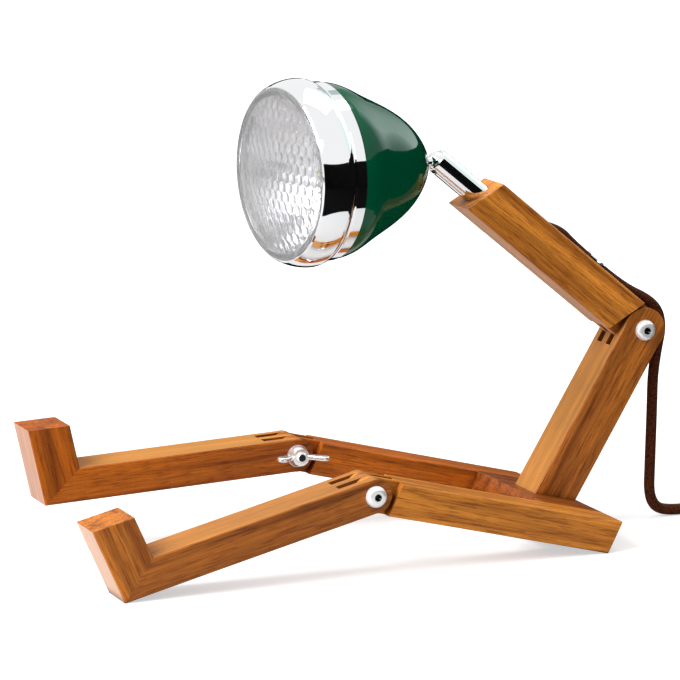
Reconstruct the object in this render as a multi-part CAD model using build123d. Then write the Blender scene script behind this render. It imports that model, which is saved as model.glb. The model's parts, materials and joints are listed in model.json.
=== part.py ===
from build123d import *
import os
from math import asin, atan2, cos, degrees, hypot, pi, radians, sin, tan

os.makedirs("parts", exist_ok=True)

# A seated robot desk lamp. Front is -Y, up is +Z and the robot's right side is +X. Millimetres and degrees.

# ---------------------------------------------------------------- timber sections
TIMBER = 21.0            # width across every timber member
LEG_DEPTH = 15.0         # depth of thighs, shanks and seat block
BODY_DEPTH = 19.0        # depth of arm and feet
TRUNK_DEPTH = 20.2
EDGE = 0.5               # sanded edge

# ---------------------------------------------------------------- seat and thighs
HIP_WIDTH = 110.0        # over the outer faces of both thighs
SEAT_DEPTH = 30.0        # front to back of the block between the thighs
THIGH_LENGTH = 109.0     # along the top, from the rear edge to the knee cut
SEAT_DOWEL = (3.0, 24.0)          # radius and length of the dowels between block and thighs
SEAT_DOWELS_AT = (9.5, 23.5)      # how far in front of the rear edge they are
END_CUT = 13.0           # slant of the thigh's two end cuts
SEAT_PITCH = 14.1        # the seat and thighs rise forward by this

# ---------------------------------------------------------------- knees
KNEE_REACH = 9.8         # from the knee cut at mid depth to the knee bolt
KNEE_SLOT = 14.0         # from the knee bolt to the bottom of the shank's slots
FINGER_GAP = 0.2         # play left on each finger's width
FINGERS = 5              # layers across a finger joint, three of one member and two of the other
FINGER_ROOT = 2.0        # a finger starts this far inside its member
LEFT_SHANK_PITCH = 2.4   # the left shank falls forward by this; the right heel stands on the floor

# ---------------------------------------------------------------- shanks and feet
SHANK_LENGTH = 119.5     # from the knee bolt to the sole, along the shank
FOOT_LENGTH = 35.0       # heel to toe along the sole
FOOT_ANGLE = 100.0       # between shank and sole
FOOT_DOWEL = (2.5, 12.0) # radius and length of the dowel across the mitre

# ---------------------------------------------------------------- trunk and arm
TRUNK_SETBACK = 22.3     # from the seat's rear edge to the trunk's front face, along the top
TRUNK_LEAN = 31.0        # the trunk leans back from upright by this
TRUNK_LENGTH = 88.5      # from the seat to the waist bolt, along the front face
WAIST_SLOT = 13.5        # from the waist bolt to the bottom of the trunk's slots
TENON = (11.0, 9.0, 9.0) # tenon under the trunk: width, depth and length
TRUNK_SCREW = (2.0, 28.0)         # radius and length of the screw that holds the tenon from below
TRUNK_SCREW_HEAD = (3.9, 2.4)     # radius and height of its countersunk head
ARM_PITCH = 39.5         # the arm rises forward by this
ARM_LENGTH = 106.4       # from the waist bolt to the arm's end, along its underside
ARM_CUT = 20.6           # slant of the arm's two end cuts
ARM_REACH = 15.0         # from the waist bolt to the arm's lower cut, along its underside

# ---------------------------------------------------------------- hardware
BOLT_R = 2.5             # shank of the joint bolts
BOLT_HEAD_R = 4.75
BOLT_HEAD_H = 2.75
BOLT_EDGE_H = 0.7        # straight part of the button head
BOLT_END = 1.2           # the bolt's end stands out of its nut by this
HEX_KEY = 3.0            # across the flats of the socket
HEX_DEPTH = 2.3
BORE_CLEARANCE = 0.05    # radial play of every running fit
FIT = 0.15               # play round a piece that is held in place
SEAM = 0.05              # between two pieces that rest on each other
WASHER_R = 5.0
WASHER_T = 1.0
NUT_HUB_R = 4.4
NUT_HUB_H = 4.0
WING_SPAN = 25.0
WING_T = 2.0
WING_H = 9.0
WING_TIP_R = 2.6
NUT_TURN = {"right_knee": 84.0, "left_knee": 87.0, "waist": 129.5}   # how far each wing nut is turned

# ---------------------------------------------------------------- head joint
BALL_R = 4.4
NECK_R = 2.3
NECK_BORE_R = 1.2
TUBE_R = 5.5
TUBE_BORE_R = 2.8
TUBE_BEYOND = 1.5        # the tube's lip reaches this far past the ball's centre
BALL_REACH = 24.5        # from the arm's end face to the ball's centre
TUBE_IN_ARM = 13.0
NECK_SLOT = 5.0          # width of the slot that the neck swings in
LOCK_NUT_AF = 8.0
LOCK_NUT_H = 3.0
HEAD_SWIVEL = 11.8       # the socket is turned by this about the arm, to the right
HEAD_BEND = 40.2         # and the head is tilted down by this from the arm's line

# ---------------------------------------------------------------- head, along its axis from the ball
SHELL_R = 38.6           # shell's mouth
SHELL_DEPTH = 51.6
SHELL_FULLNESS = 1.17    # 1 is a parabola; more is rounder
SHELL_START = 7.6        # from the ball to the shell's apex
SHELL_T = 1.2
SHELL_TUCK = 5.0         # the shell's neck reaches this far into the rim
BOSS_R = 7.0
BOSS_H = 4.2             # from the shell's apex to the flat face inside it
RIM_DEPTH = 21.0         # from the shell to the rim's front edge
RIM_BAND = 5.6           # width of the band behind the bulge
RIM_BAND_R = 38.9
RIM_GROOVE = 0.35        # depth of the rolled groove between the band and the bulge
RIM_BULGE_R = 41.0       # greatest radius
RIM_BULGE_BACK = 9.6     # from the shell to the greatest radius
RIM_FRONT_R = 38.1
RIM_LIP = 3.0            # depth of the lip in front of the glass's flange
RIM_T = 1.1
LENS_R = 37.0
LENS_PROUD = 0.6         # the glass's border stands out of the rim by this
LENS_BORDER = 3.0        # width of the plain ring round the glass
LENS_CROWN = 3.4         # the glass crowns by this in the middle
LENS_T = 2.6
LENS_FLANGE_R = 37.8
LENS_FLANGE_T = 2.0
GASKET_T = 1.5
REFLECTOR_R = 35.0
REFLECTOR_DEPTH = 27.0
REFLECTOR_HOLE_R = 8.5
REFLECTOR_T = 0.9
LED_BOARD_R = 11.0
LED_BOARD_T = 1.6
LED_R = 5.0
LED_H = 1.2
SINK_R = 14.5
SINK_H = 13.0
SINK_FINS = 12
DRIVER = (15.0, 15.0, 4.4)

# ---------------------------------------------------------------- cord
CORD_R = 2.5
LEAD_R = 1.1
LEAD_SLACK = 1.5         # the thin lead stops this far from the ball and from the stud's end
LEAD_BORE_R = 2.0
CORD_HOLE_R = 2.8
ANCHOR_LENGTH = 7.0      # the sleeve in the arm that grips the cord
CLIP_AT = 36.0           # where the clip sits, from the waist bolt
CLIP_LENGTH = 9.0
CLIP_T = 0.9
CLIP_REACH = 8.0         # half of the clip's width across its two feet
CLIP_SCREW = (0.9, 7.0)  # radius and depth of its screws
CLIP_SCREW_HEAD = (1.7, 1.4)      # radius and height of their heads
CLIP_SCREW_AT = 6.0      # the screws stand this far to each side
GROOVE_DEPTH = 2.0       # of the groove that the cord lies in along the arm
GROOVE_START = 66.0      # its two ends, from the waist bolt
GROOVE_END = 20.0
COIL_MID_R = 26.0        # radius of the coil's middle turn
COIL_ROWS = 4            # turns side by side
COIL_LAYERS = 2
COIL_BEHIND = 217.0      # the coil's middle lies this far behind the seat's rear edge
PLUG_ASIDE = 58.0        # the plug lies this far to the right
SWITCH_LENGTH = 58.0
SWITCH_WIDTH = 21.0
SWITCH_HEIGHT = 15.0
SWITCH_ENTRY = 5.0       # height of the cord's entry, where the two halves meet
ROCKER_LENGTH = 23.2
ROCKER_WIDTH = 11.0
ROCKER_TILT = 8.0        # each way
RELIEF_LENGTH = 20.0
RELIEF_R = 4.6
RELIEF_TIP_R = 3.2
PLUG_LENGTH = 36.0
PLUG_WIDTH = 26.0
PLUG_HEIGHT = 13.0
PIN_R = 2.0
PIN_LENGTH = 19.0
PIN_PITCH = 18.6
PLUG_SHOULDER = 22.0     # from the plug's rear to its full width
PLUG_REAR = 15.0         # width of its rear

HALF = TIMBER / 2
LAYER = TIMBER / FINGERS
INNER_LAYERS = (1, 3)                 # the layers that the fingers of thighs and arm fill
LEG_R = LEG_DEPTH / 2
BODY_R = BODY_DEPTH / 2
TRUNK_R = TRUNK_DEPTH / 2
HIP_X = HIP_WIDTH / 2 - HALF          # middle of a leg


# ---------------------------------------------------------------- helpers
STANDING = (Align.CENTER, Align.CENTER, Align.MIN)
HANGING = (Align.CENTER, Align.CENTER, Align.MAX)


def forward(rise):
    """The way forward along a member that rises by so many degrees."""
    return Vector(0, -cos(radians(rise)), sin(radians(rise)))


def upward(rise):
    """Square to that, on its upper side."""
    return Vector(0, sin(radians(rise)), cos(radians(rise)))


def at(point, rise=0.0):
    """A member's own frame, with its forward end towards -Y, placed at a point."""
    return Location(point, (-rise, 0, 0))


def side_slab(outline, width, middle=0.0):
    """A side view in (forward, up), as thick as the width, centred across."""
    face = Plane.YZ * mirror(outline, Plane.YZ)
    return Pos(middle - width / 2, 0, 0) * extrude(face, width, dir=(1, 0, 0))


def outline(*points):
    return Polygon(*points, align=None)


def layers(face, width):
    """Slabs in the two inner layers of a finger joint, from their side view."""
    middles = [(number - (FINGERS - 1) / 2) * LAYER for number in INNER_LAYERS]
    return [side_slab(face, width, middle) for middle in middles]


def bar(radius, back, front):
    """A round bar along a member's axis, between two distances forward of its frame."""
    return Pos(0, -(back + front) / 2, 0) * Rot(90, 0, 0) * Cylinder(radius, front - back)


def bolt_bore():
    return Rot(0, 90, 0) * Cylinder(BOLT_R + BORE_CLEARANCE, TIMBER)


def sanded(timber, grain=Vector(0, 1, 0)):
    """Takes the sharp corner off the edges that run with the grain."""
    return chamfer(timber.edges().filter_by(lambda edge: abs(edge.tangent_at(0.5).dot(grain)) > 0.999), EDGE)


def turned(line):
    """A solid turned about -Y from a closed line in (radius, distance forward)."""
    return Rot(90, 0, 0) * revolve(Plane.XZ * make_face(line), Axis.Z)


def disc(back, front, outer_r, inner_r=0):
    """A flat ring or disc about -Y."""
    corners = [(inner_r, back), (outer_r, back), (outer_r, front), (inner_r, front)]
    return turned(Polyline(*corners, close=True))


PARTS = {}


def keep(name, *solids):
    PARTS[name] = list(solids)


# ---------------------------------------------------------------- where things are
SEAT = at((0, 0, 0), SEAT_PITCH)                     # origin on the seat's rear top edge for now
SLANT = tan(radians(END_CUT))
KNEE_ALONG = THIGH_LENGTH + LEG_R * SLANT + KNEE_REACH
KNEE = forward(SEAT_PITCH) * KNEE_ALONG - upward(SEAT_PITCH) * LEG_R
FLOOR_Z = (forward(SEAT_PITCH) * LEG_DEPTH * SLANT - upward(SEAT_PITCH) * LEG_DEPTH).Z
KNEE_HEIGHT = KNEE.Z - FLOOR_Z
RIGHT_SHANK_PITCH = degrees(asin(KNEE_HEIGHT / hypot(SHANK_LENGTH, LEG_R)) - atan2(LEG_R, SHANK_LENGTH))
WAIST = (forward(SEAT_PITCH) * TRUNK_SETBACK + upward(TRUNK_LEAN) * TRUNK_LENGTH
         - forward(TRUNK_LEAN) * TRUNK_R)
ARM = at(WAIST, ARM_PITCH)
ARM_SLANT = BODY_DEPTH * tan(radians(ARM_CUT))
ARM_END = ARM_LENGTH - ARM_SLANT / 2                 # middle of the slanted end face
BALL_ALONG = ARM_END + BALL_REACH
BALL = WAIST + forward(ARM_PITCH) * BALL_ALONG
JOINT = at(BALL, ARM_PITCH) * Rot(0, -HEAD_SWIVEL, 0)   # the socket's own frame, with the slot below
HEAD = JOINT * Rot(HEAD_BEND, 0, 0)


# ---------------------------------------------------------------- seat and thighs
REAR_FOOT = (LEG_DEPTH * SLANT, -LEG_DEPTH)          # lower rear corner of the block and thighs
TRUNK_FOOT = TRUNK_DEPTH / cos(radians(TRUNK_LEAN - SEAT_PITCH))
TENON_ALONG = TRUNK_SETBACK - TRUNK_FOOT / 2         # under the middle of the trunk's foot


def dowels(radius, extra=0):
    """The dowels between block and thighs, or the holes for them."""
    dowel = Rot(0, 90, 0) * Cylinder(radius, SEAT_DOWEL[1] + extra)
    seam = HIP_WIDTH / 2 - TIMBER
    return [Pos(side * seam, -along, -LEG_R) * dowel for side in (1, -1) for along in SEAT_DOWELS_AT]


def tenon():
    width, depth, length = TENON
    return Pos(0, -TENON_ALONG, -length / 2) * Box(width, depth, length)


def screw_below(play, extra=0):
    """The screw that holds the trunk from below, or the hole for it with some play and extra depth."""
    radius, length = TRUNK_SCREW
    head_r, head_h = TRUNK_SCREW_HEAD
    sunk = 0.4                                       # the head's top is this far inside the block
    drive_length, drive_width = 3.6, 0.9
    screw = Cone(head_r + play, radius + play, head_h, align=STANDING)
    screw += Pos(0, 0, head_h) * Cylinder(radius + play, length - head_h + extra, align=STANDING)
    if extra:
        screw += Cylinder(head_r + play, extra, align=HANGING)
    else:
        screw -= Box(drive_length, drive_width, head_h) + Box(drive_width, drive_length, head_h)
    return Pos(0, -TENON_ALONG, sunk - LEG_DEPTH) * screw


def seat():
    side = outline((0, 0), (SEAT_DEPTH, 0), (SEAT_DEPTH + LEG_DEPTH * SLANT, -LEG_DEPTH), REAR_FOOT)
    block = side_slab(side, HIP_WIDTH - 2 * TIMBER) - tenon() - screw_below(BORE_CLEARANCE, extra=1)
    block -= dowels(SEAT_DOWEL[0] + BORE_CLEARANCE, extra=1)
    keep("seat_block", SEAT * block)
    keep("seat_dowels", *[SEAT * dowel for dowel in dowels(SEAT_DOWEL[0])])
    keep("trunk_screw", SEAT * screw_below(0))


def thighs():
    side = outline((0, 0), (THIGH_LENGTH, 0), (THIGH_LENGTH + LEG_DEPTH * SLANT, -LEG_DEPTH), REAR_FOOT)
    root = THIGH_LENGTH - FINGER_ROOT
    finger = (Pos(KNEE_ALONG, -LEG_R) * Circle(LEG_R)
              + outline((root, 0), (KNEE_ALONG, 0), (KNEE_ALONG, -LEG_DEPTH), (root, -LEG_DEPTH)))
    thigh = sanded(side_slab(side, TIMBER)) + layers(finger, LAYER - FINGER_GAP)
    thigh -= Pos(0, -KNEE_ALONG, -LEG_R) * bolt_bore()
    for name, side_x in (("right", HIP_X), ("left", -HIP_X)):
        placed = Pos(side_x, 0, 0) * thigh - dowels(SEAT_DOWEL[0] + BORE_CLEARANCE, extra=1)
        keep(name + "_thigh", SEAT * placed)


# ---------------------------------------------------------------- shanks and feet
def leg_below_knee():
    """Shank, foot and heel dowel about the knee bolt, straight forward."""
    turn = radians(FOOT_ANGLE)
    sole = Vector(-cos(turn), sin(turn))             # from heel to toe, in (forward, up)
    inward = Vector(-sin(turn), -cos(turn))
    heel = Vector(SHANK_LENGTH, -LEG_R)
    toe = heel + sole * FOOT_LENGTH
    inner = heel + inward * BODY_DEPTH
    corner = inner + sole * ((LEG_R - inner.Y) / sole.Y)
    toe_back = inner + sole * ((toe.Y - inner.Y) / sole.Y)
    shank_side = outline((0, LEG_R), (corner.X, corner.Y), (heel.X, heel.Y), (0, -LEG_R))
    foot_side = outline((heel.X, heel.Y), (toe.X, toe.Y), (toe_back.X, toe_back.Y), (corner.X, corner.Y))
    slot = Pos(KNEE_SLOT, 0) * Rectangle(2 * LEG_DEPTH, 2 * LEG_DEPTH, align=(Align.MAX, Align.CENTER))
    shank = sanded(side_slab(shank_side, TIMBER)) + side_slab(Circle(LEG_R), TIMBER)
    shank = shank - layers(slot, LAYER) - bolt_bore()
    foot = sanded(side_slab(foot_side, TIMBER), grain=Vector(0, -sole.X, sole.Y))
    mitre = (heel - corner).normalized()
    middle = (heel + corner) / 2
    dowel_r, dowel_length = FOOT_DOWEL
    lean = degrees(atan2(-mitre.X, mitre.Y))         # the dowel stands square to the mitre
    place = Pos(0, -middle.X, middle.Y) * Rot(lean, 0, 0)
    dowel = place * Cylinder(dowel_r, dowel_length)
    hole = place * Cylinder(dowel_r + BORE_CLEARANCE, dowel_length + 2 * FIT)
    return shank - hole, foot - hole, dowel


def bolt(grip):
    """A button head bolt along Z with its head on top of the plane and its shank below."""
    flat_r = BOLT_HEAD_R * 0.55
    shoulder = (BOLT_HEAD_R * 0.86, BOLT_HEAD_H * 0.74)
    rim = (BOLT_HEAD_R, BOLT_EDGE_H)
    side = Polyline((flat_r, BOLT_HEAD_H), (0, BOLT_HEAD_H), (0, 0), (BOLT_HEAD_R, 0), rim)
    crown = ThreePointArc(rim, shoulder, (flat_r, BOLT_HEAD_H))
    head = revolve(Plane.XZ * make_face(side + crown), Axis.Z)
    hexagon = RegularPolygon(HEX_KEY / 2, 6, major_radius=False)
    socket = Pos(0, 0, BOLT_HEAD_H - HEX_DEPTH) * extrude(hexagon, HEX_DEPTH)
    shank = Pos(0, 0, -grip / 2) * Cylinder(BOLT_R, grip)
    return head - socket + chamfer(shank.faces().sort_by(Axis.Z)[0].edges(), EDGE)


def washer():
    return Cylinder(WASHER_R, WASHER_T) - Cylinder(BOLT_R + FIT, WASHER_T)


def wing_nut():
    """A wing nut along Z, seated on the plane."""
    taper = 0.5                                      # the hub's foot is this much wider than its middle
    root_r = 1.9                                     # roundness of a wing where it leaves the hub
    sunk = 0.4                                       # a wing's root is this far inside the hub
    hub = Cone(NUT_HUB_R + taper, NUT_HUB_R - taper, NUT_HUB_H, align=STANDING)
    tip = (WING_SPAN / 2 - WING_TIP_R, WING_H - WING_TIP_R)
    root = (NUT_HUB_R - sunk, root_r + sunk)
    ear = make_hull((Pos(*tip) * Circle(WING_TIP_R)).edges() + (Pos(*root) * Circle(root_r)).edges())
    wing = Pos(0, WING_T / 2, 0) * extrude(Plane.XZ * ear, WING_T)
    wing = fillet(wing.edges().filter_by(lambda edge: edge.length > WING_T + 1), 0.3 * WING_T)
    wings = wing + Rot(0, 0, 180) * wing
    return hub + wings - Cylinder(BOLT_R + BORE_CLEARANCE, 3 * NUT_HUB_H)


def joint_hardware(name, centre, side, middle_x):
    """Bolt, washer and wing nut through a joint; the head is on the given side."""
    facing = Location((middle_x, centre.Y, centre.Z), (0, 90 * side, 0))
    grip = TIMBER + WASHER_T + NUT_HUB_H + BOLT_END
    keep(name + "_bolt", facing * Pos(0, 0, HALF) * bolt(grip))
    keep(name + "_washer", facing * Pos(0, 0, -HALF - WASHER_T / 2) * washer())
    keep(name + "_wing_nut", facing * Pos(0, 0, -HALF - WASHER_T) * Rot(180, 0, NUT_TURN[name]) * wing_nut())


def legs():
    shank, foot, dowel = leg_below_knee()
    for name, side, pitch in (("right", 1, RIGHT_SHANK_PITCH), ("left", -1, LEFT_SHANK_PITCH)):
        place = at(KNEE + Vector(side * HIP_X, 0, 0), -pitch)
        keep(name + "_shank", place * shank)
        keep(name + "_foot", place * foot)
        keep(name + "_foot_dowel", place * dowel)
        joint_hardware(name + "_knee", KNEE, side, side * HIP_X)


# ---------------------------------------------------------------- trunk
def trunk():
    base_rise = TRUNK_DEPTH * tan(radians(TRUNK_LEAN - SEAT_PITCH))
    side = outline((TRUNK_R, -TRUNK_LENGTH), (-TRUNK_R, -TRUNK_LENGTH + base_rise), (-TRUNK_R, 0),
                   (TRUNK_R, 0))
    slot = Pos(0, -WAIST_SLOT) * Rectangle(2 * TRUNK_DEPTH, 2 * TRUNK_DEPTH, align=(Align.CENTER, Align.MIN))
    beam = sanded(side_slab(side, TIMBER), grain=Vector(0, 0, 1)) + side_slab(Circle(TRUNK_R), TIMBER)
    beam = beam - layers(slot, LAYER) - bolt_bore()
    keep("trunk", at(WAIST, TRUNK_LEAN) * beam + SEAT * tenon() - SEAT * screw_below(BORE_CLEARANCE, extra=1))
    joint_hardware("waist", WAIST, 1, 0)


# ---------------------------------------------------------------- upper arm
# The cord's way along the arm, as (distance from the waist bolt, height over the arm's axis).
SADDLE_R = CORD_R + 2 * BORE_CLEARANCE
IN_GROOVE = BODY_R - GROOVE_DEPTH + CORD_R + BORE_CLEARANCE
TUBE_FOOT = ARM_END - TUBE_IN_ARM                    # where the tube starts inside the arm
ON_ARM = [(68.1, 7.65), (60.5, IN_GROOVE + 2.3), (50.0, IN_GROOVE + 0.8),
          (CLIP_AT + CLIP_LENGTH / 2, IN_GROOVE), (CLIP_AT - CLIP_LENGTH / 2, IN_GROOVE)]


def on_arm(along, height):
    return WAIST + forward(ARM_PITCH) * along + upward(ARM_PITCH) * height


def cord_mouth():
    """The mouth of the cord's slanted hole, with Z pointing out, and where it meets the lead's bore."""
    along, height = ON_ARM[0]
    next_along, next_height = ON_ARM[1]
    rise = atan2(next_height - height, along - next_along)
    mouth = Pos(0, -along, height) * Rot(degrees(rise) - 90, 0, 0)
    return mouth, along + height / tan(rise)


def arm():
    body = outline((ARM_REACH, -BODY_R), (ARM_LENGTH, -BODY_R), (ARM_LENGTH - ARM_SLANT, BODY_R),
                   (ARM_REACH - ARM_SLANT, BODY_R))
    root = ARM_REACH + FINGER_ROOT
    finger = Circle(BODY_R) + outline((0, -BODY_R), (root, -BODY_R), (root - ARM_SLANT, BODY_R), (0, BODY_R))
    beam = sanded(side_slab(body, TIMBER)) + layers(finger, LAYER - FINGER_GAP)
    beam = beam - bolt_bore() - bar(TUBE_R + BORE_CLEARANCE, TUBE_FOOT, TUBE_FOOT + 2 * BODY_DEPTH)

    mouth, meet = cord_mouth()
    depth = hypot(ON_ARM[0][1], meet - ON_ARM[0][0])
    beam -= bar(LEAD_BORE_R, meet - LEAD_BORE_R, TUBE_FOOT + LEAD_BORE_R)
    beam -= mouth * Pos(0, 0, (BODY_R - ANCHOR_LENGTH) / 2) * Cylinder(CORD_HOLE_R, BODY_R + ANCHOR_LENGTH)
    beam -= mouth * Pos(0, 0, -depth / 2) * Cylinder(LEAD_BORE_R, depth)
    beam -= Pos(0, -(GROOVE_START + GROOVE_END) / 2, BODY_R) * Box(2 * SADDLE_R, GROOVE_START - GROOVE_END,
                                                                   2 * GROOVE_DEPTH)
    for side in (1, -1):
        beam -= clip_screw_place(side) * clip_screw_stem(BORE_CLEARANCE, extra=FIT)
    keep("upper_arm", ARM * beam)


def leads_in_arm():
    """The sleeve that grips the cord in its hole, and the thin lead that goes on to the head."""
    mouth, meet = cord_mouth()
    sleeve = Cylinder(CORD_HOLE_R - BORE_CLEARANCE, ANCHOR_LENGTH)
    sleeve -= Cylinder(LEAD_R + BORE_CLEARANCE, ANCHOR_LENGTH)
    keep("arm_cord_anchor", ARM * mouth * Pos(0, 0, -ANCHOR_LENGTH / 2) * sleeve)
    along, height = ON_ARM[0]
    ball_side = BALL_ALONG - BALL_R - LEAD_SLACK
    way = FilletPolyline((0, -along, height), (0, -meet, 0), (0, -ball_side, 0), radius=4 * LEAD_R)
    keep("arm_lead", ARM * sweep(Plane(way @ 0, z_dir=way % 0) * Circle(LEAD_R), path=way))


def clip_screw_place(side):
    return Pos(side * CLIP_SCREW_AT, -CLIP_AT, BODY_R + CLIP_T)


def clip_screw_stem(play=0.0, extra=0.0):
    radius, depth = CLIP_SCREW
    return Cylinder(radius + play, depth + extra, align=HANGING)


def clip_screw():
    head_r, head_h = CLIP_SCREW_HEAD
    slot_width, slot_depth = 0.5, 0.6
    head = Cylinder(head_r, head_h, align=STANDING)
    head = fillet(head.edges().sort_by(Axis.Z)[-1], head_h / 2)
    slot = Pos(0, 0, head_h) * Box(3 * head_r, slot_width, 2 * slot_depth)
    return head - slot + clip_screw_stem()


def cord_clip():
    """A bent saddle over the cord, with a foot on each side."""
    saddle = SADDLE_R + CLIP_T
    arch = (Pos(0, IN_GROOVE) * Circle(saddle)
            + Pos(0, (BODY_R + IN_GROOVE) / 2) * Rectangle(2 * saddle, IN_GROOVE - BODY_R)
            + Pos(0, BODY_R + CLIP_T / 2) * Rectangle(2 * CLIP_REACH, CLIP_T))
    arch = arch - Pos(0, IN_GROOVE) * Circle(SADDLE_R) - Pos(0, IN_GROOVE) * Rectangle(
        2 * SADDLE_R, 2 * SADDLE_R, align=(Align.CENTER, Align.MAX))
    arch -= Pos(0, BODY_R) * Rectangle(4 * CLIP_REACH, BODY_R, align=(Align.CENTER, Align.MAX))
    clip = Pos(0, -CLIP_AT + CLIP_LENGTH / 2, 0) * extrude(Plane.XZ * arch, CLIP_LENGTH)
    for side in (1, -1):
        clip -= clip_screw_place(side) * Cylinder(CLIP_SCREW[0] + BORE_CLEARANCE, 4 * CLIP_T)
    keep("arm_clip", ARM * clip)
    keep("clip_screws", *[ARM * clip_screw_place(side) * clip_screw() for side in (1, -1)])


# ---------------------------------------------------------------- ball joint
def socket_tube():
    into = BALL_ALONG - TUBE_FOOT
    lip_round = 0.9
    tube = bar(TUBE_R, -into, TUBE_BEYOND)
    tube = fillet(tube.faces().sort_by(Axis.Y)[0].edges(), lip_round)
    tube = tube - bar(TUBE_BORE_R, -into, 0) - Sphere(BALL_R + BORE_CLEARANCE)
    reach = TUBE_R + 1
    tube -= Pos(0, -reach / 2, -reach / 2) * Box(NECK_SLOT, reach, reach)
    tube -= Pos(0, 0, -reach / 2) * Cylinder(NECK_SLOT / 2, reach)
    keep("socket_tube", JOINT * tube)


def ball_stud():
    neck_end = BOSS_END + SEAM + LOCK_NUT_H + LEAD_SLACK
    stud = Sphere(BALL_R) + bar(NECK_R, 0, neck_end) - bar(NECK_BORE_R, -2 * BALL_R, neck_end + 1)
    keep("ball_stud", HEAD * stud)
    nut = extrude(RegularPolygon(LOCK_NUT_AF / 2, 6, major_radius=False), LOCK_NUT_H)
    nut -= Cylinder(NECK_R + BORE_CLEARANCE, 3 * LOCK_NUT_H)
    keep("lock_nut", HEAD * Pos(0, -BOSS_END - SEAM, 0) * Rot(90, 0, 0) * nut)


# ---------------------------------------------------------------- head
# Distances along the head's axis from the ball.
BOSS_END = SHELL_START + BOSS_H
MOUTH = SHELL_START + SHELL_DEPTH                    # where shell and rim meet
RIM_FRONT = MOUTH + RIM_DEPTH
BORDER = RIM_FRONT + LENS_PROUD                      # the glass's plain ring
FLANGE_FRONT = RIM_FRONT - RIM_LIP - SEAM
FLANGE_BACK = FLANGE_FRONT - LENS_FLANGE_T
GASKET_FRONT = FLANGE_BACK - SEAM
BOWL_FRONT = GASKET_FRONT - GASKET_T - SEAM
BOWL_BACK = BOWL_FRONT - REFLECTOR_DEPTH
BOARD_FRONT = BOWL_BACK - SEAM
SINK_FRONT = BOARD_FRONT - LED_BOARD_T
SINK_BACK = SINK_FRONT - SINK_H
DRIVER_BACK = SINK_BACK - SEAM - DRIVER[2]

TUCK_R = RIM_BAND_R - RIM_T - BORE_CLEARANCE         # the shell's neck inside the rim
DOME_STOPS = (0.0, 0.3, 0.6, 0.82, 0.95, 1.0)        # the shares of its depth that the shell's side is set at
BOWL_STOPS = (0.0, 0.25, 0.55, 1.0)                  # and the reflector's
BOWL_GROWTH = 0.62                                   # 0.5 is a parabola; more is straighter


def dome(wall):
    """The shell's space with its neck, that much smaller all round."""
    radius, depth, neck_r = SHELL_R - wall, SHELL_DEPTH - wall, TUCK_R - wall
    neck_end = MOUTH + SHELL_TUCK + wall             # the hollow runs on past the neck
    curve = [(radius * (1 - stop ** SHELL_FULLNESS) ** 0.5, MOUTH - depth * stop) for stop in DOME_STOPS]
    side = Spline(*curve, tangents=[(0, -1), (-1, 0)])
    return turned(side + Polyline((0, MOUTH - depth), (0, neck_end), (neck_r, neck_end), (neck_r, MOUTH),
                                  (radius, MOUTH)))


def head_shell():
    boss = disc(SHELL_START, BOSS_END, BOSS_R) & dome(0)
    shell = dome(0) - dome(SHELL_T) + boss - bar(NECK_R + BORE_CLEARANCE, 0, 2 * BOSS_END)
    keep("head_shell", HEAD * shell)


def head_rim():
    """A spun ring: a plain band, a rolled groove, a bulge and a lip in front of the glass's flange."""
    bulge_at = MOUTH + RIM_BULGE_BACK
    band_end = MOUTH + RIM_BAND
    groove_r = RIM_BAND_R - RIM_GROOVE
    groove_half = 0.5
    crest = (RIM_BULGE_R - (RIM_BULGE_R - RIM_BAND_R) / 4, (band_end + bulge_at) / 2)
    brow = (RIM_BULGE_R - (RIM_BULGE_R - RIM_FRONT_R) / 4, (bulge_at + RIM_FRONT) / 2)
    rounding = RIM_T / 2
    nose = (RIM_FRONT_R, RIM_FRONT - rounding)
    outside = (Polyline((RIM_BAND_R, MOUTH), (RIM_BAND_R, band_end - 2 * groove_half),
                        (groove_r, band_end - groove_half), (groove_r, band_end), (RIM_BAND_R, band_end))
               + ThreePointArc((RIM_BAND_R, band_end), crest, (RIM_BULGE_R, bulge_at))
               + ThreePointArc((RIM_BULGE_R, bulge_at), brow, nose))
    lens_hole = LENS_R + FIT
    flange_hole = LENS_FLANGE_R + FIT
    inside_r = RIM_BAND_R - RIM_T
    lip_back = RIM_FRONT - RIM_LIP
    inside = Polyline(nose, (RIM_FRONT_R - rounding, RIM_FRONT), (lens_hole, RIM_FRONT),
                      (lens_hole, lip_back), (flange_hole, lip_back), (flange_hole, bulge_at),
                      (inside_r, bulge_at - rounding), (inside_r, MOUTH), (RIM_BAND_R, MOUTH))
    keep("head_rim", HEAD * turned(outside + inside))


def head_lens():
    """Pressed glass: a crowned middle, a plain ring round it and a flange that the rim's lip holds."""
    border_r = LENS_R - LENS_BORDER
    inner_r = LENS_R - LENS_T
    step = LENS_PROUD / 2
    crown = BORDER + LENS_CROWN
    rise = Line((0, crown - LENS_T), (0, crown))
    outside = TangentArc((0, crown), (border_r, BORDER - step), tangent=(1, 0))
    wall = Polyline((border_r, BORDER - step), (border_r + step, BORDER), (LENS_R - step, BORDER),
                    (LENS_R, BORDER - step), (LENS_R, FLANGE_FRONT), (LENS_FLANGE_R, FLANGE_FRONT),
                    (LENS_FLANGE_R, FLANGE_BACK), (inner_r, FLANGE_BACK), (inner_r, BORDER - LENS_T))
    inside = TangentArc((0, crown - LENS_T), (inner_r, BORDER - LENS_T), tangent=(1, 0))
    keep("head_lens", HEAD * turned(rise + outside + wall + inside))
    gasket = disc(GASKET_FRONT - GASKET_T, GASKET_FRONT, LENS_FLANGE_R - FIT, REFLECTOR_R - FIT)
    keep("lens_gasket", HEAD * gasket)


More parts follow.
